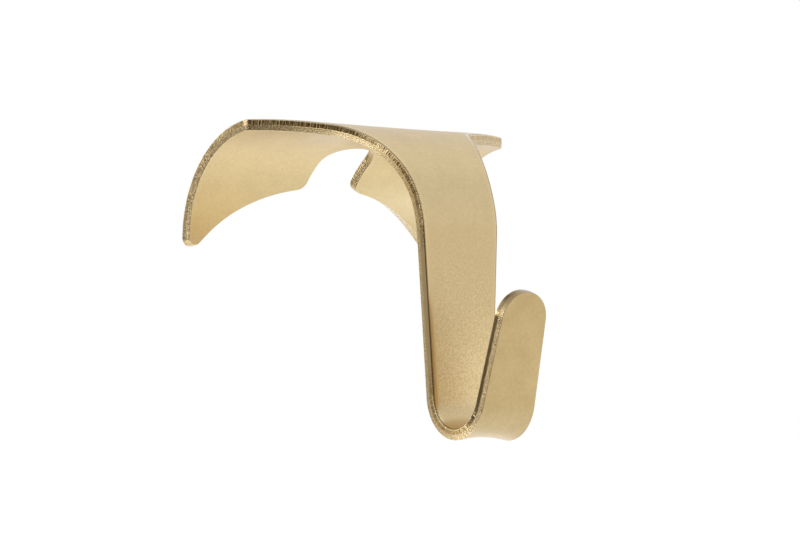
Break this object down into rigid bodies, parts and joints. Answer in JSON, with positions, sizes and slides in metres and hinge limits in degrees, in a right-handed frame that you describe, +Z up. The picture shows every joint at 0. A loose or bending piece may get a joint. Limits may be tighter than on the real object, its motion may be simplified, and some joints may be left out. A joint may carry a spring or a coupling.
{
  "type": "batten hook",
  "caption": "One-piece brass-plated hook that hangs over a batten or picture rail by a notched arch, with an upturned lip below.",
  "frame": {"origin": "on the axis of the arch that goes over the batten, at the middle of the hook's width", "axes": "+X along the batten, +Y towards the wall, +Z up; the lip faces -Y"},
  "size_m": [0.0454, 0.0445, 0.0419],
  "materials": {
    "brass_plate": "satin brass plating over a stamped and folded steel strip, with bare sheared edges showing through the same plating"
  },
  "bodies": {
    "root": {"hook": "brass_plate"}
  },
  "joints": []
}
